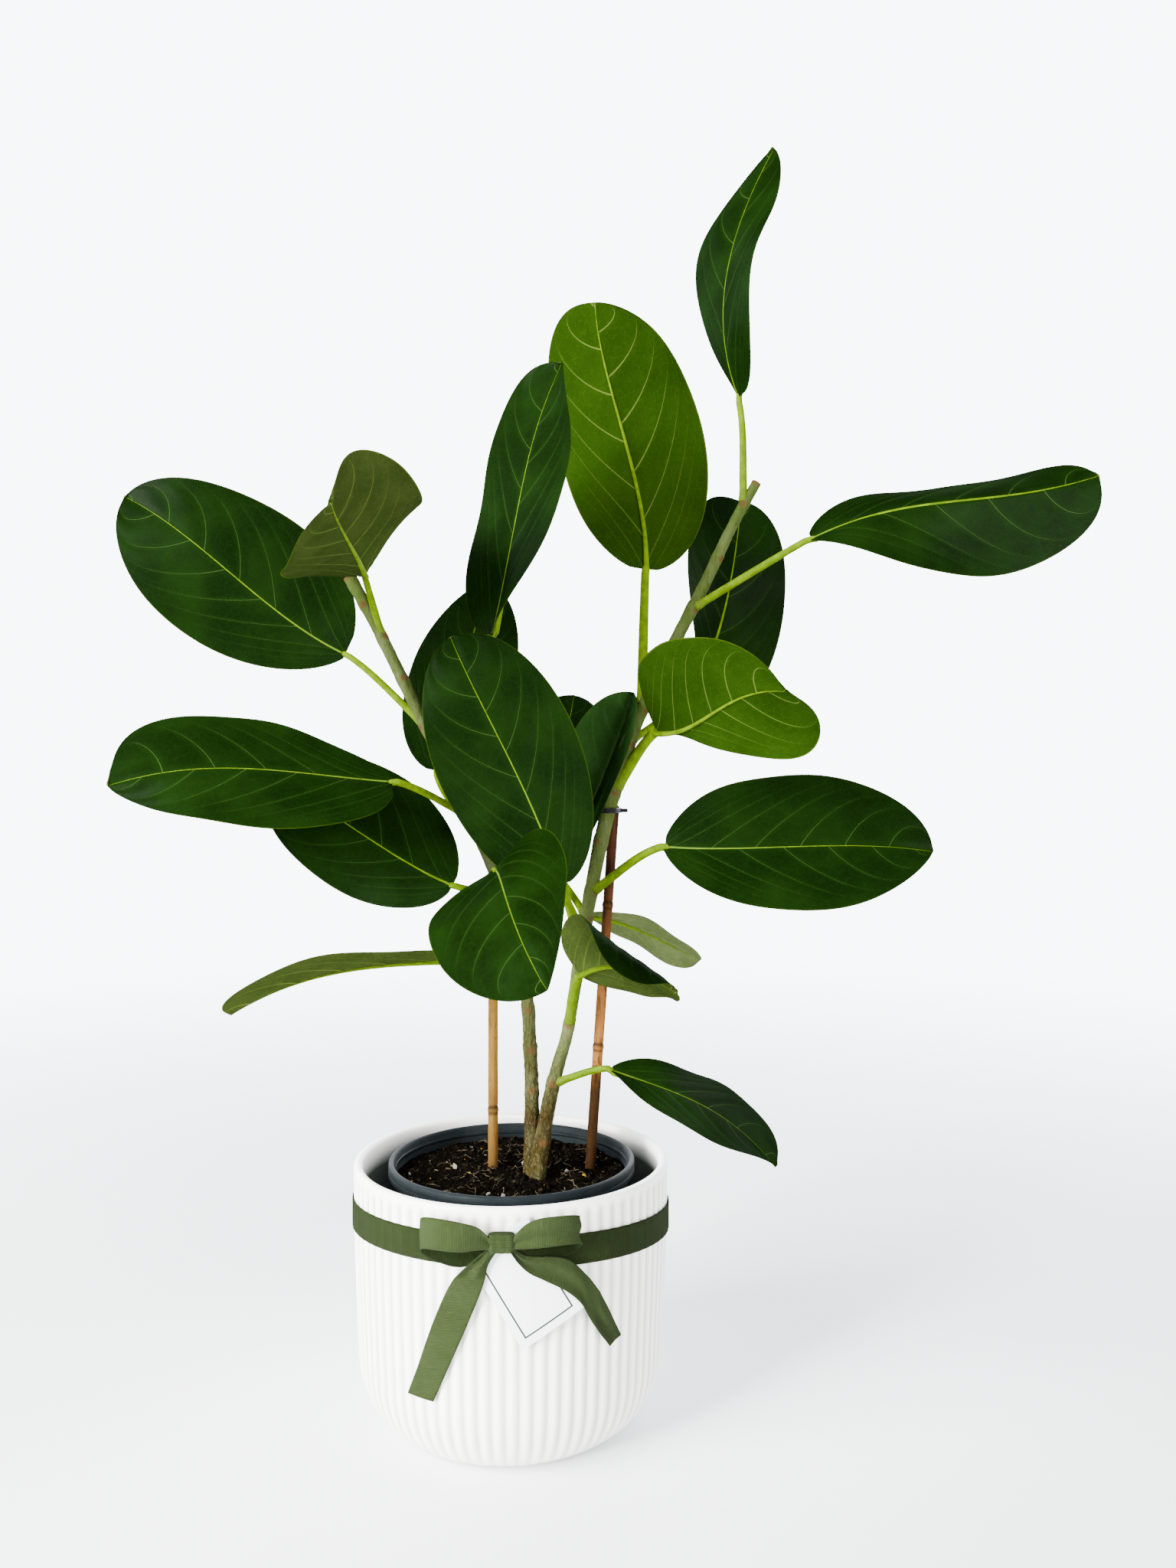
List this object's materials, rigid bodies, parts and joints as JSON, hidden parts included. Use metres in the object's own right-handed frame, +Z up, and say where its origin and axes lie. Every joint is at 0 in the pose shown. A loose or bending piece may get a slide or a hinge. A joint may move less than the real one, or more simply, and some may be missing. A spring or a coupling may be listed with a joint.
{
  "type": "potted plant",
  "caption": "Potted ficus audrey with large oval leaves on two staked stems, in a fluted white cachepot tied with a ribbon bow and a blank gift tag.",
  "frame": {"origin": "centre of the cachepot's foot, on the surface it stands on", "axes": "+Z up, -Y towards the bow and the tag, +X to the right as seen from the bow"},
  "size_m": [0.7656, 0.3537, 1.0079],
  "materials": {
    "cachepot": "satin",
    "nursery_pot": "satin",
    "soil": "matte",
    "stem": "matte",
    "stake_left": "satin",
    "stake_right": "satin",
    "plant_tie": "matte",
    "leaf_01": "satin",
    "leaf_02": "satin",
    "leaf_03": "satin",
    "leaf_04": "satin",
    "leaf_05": "satin",
    "leaf_06": "satin",
    "leaf_07": "satin",
    "leaf_08": "satin",
    "leaf_09": "satin",
    "leaf_10": "satin",
    "leaf_11": "satin",
    "leaf_12": "satin",
    "leaf_13": "satin",
    "leaf_14": "satin",
    "leaf_15": "satin",
    "leaf_16": "satin",
    "leaf_17": "satin",
    "leaf_18": "satin",
    "leaf_19": "satin",
    "leaf_20": "satin",
    "ribbon_band": "satin",
    "bow_loop_left": "satin",
    "bow_loop_right": "satin",
    "bow_knot": "satin",
    "ribbon_tail_left": "satin",
    "ribbon_tail_right": "satin",
    "gift_tag": "matte"
  },
  "bodies": {
    "root": {"cachepot": "cachepot", "nursery_pot": "nursery_pot", "soil": "soil", "stem": "stem", "stake_left": "stake_left", "stake_right": "stake_right", "plant_tie": "plant_tie", "leaf_01": "leaf_01", "leaf_02": "leaf_02", "leaf_03": "leaf_03", "leaf_04": "leaf_04", "leaf_05": "leaf_05", "leaf_06": "leaf_06", "leaf_07": "leaf_07", "leaf_08": "leaf_08", "leaf_09": "leaf_09", "leaf_10": "leaf_10", "leaf_11": "leaf_11", "leaf_12": "leaf_12", "leaf_13": "leaf_13", "leaf_14": "leaf_14", "leaf_15": "leaf_15", "leaf_16": "leaf_16", "leaf_17": "leaf_17", "leaf_18": "leaf_18", "leaf_19": "leaf_19", "leaf_20": "leaf_20", "ribbon_band": "ribbon_band", "bow_loop_left": "bow_loop_left", "bow_loop_right": "bow_loop_right", "bow_knot": "bow_knot", "ribbon_tail_left": "ribbon_tail_left", "ribbon_tail_right": "ribbon_tail_right", "gift_tag": "gift_tag"}
  },
  "joints": []
}
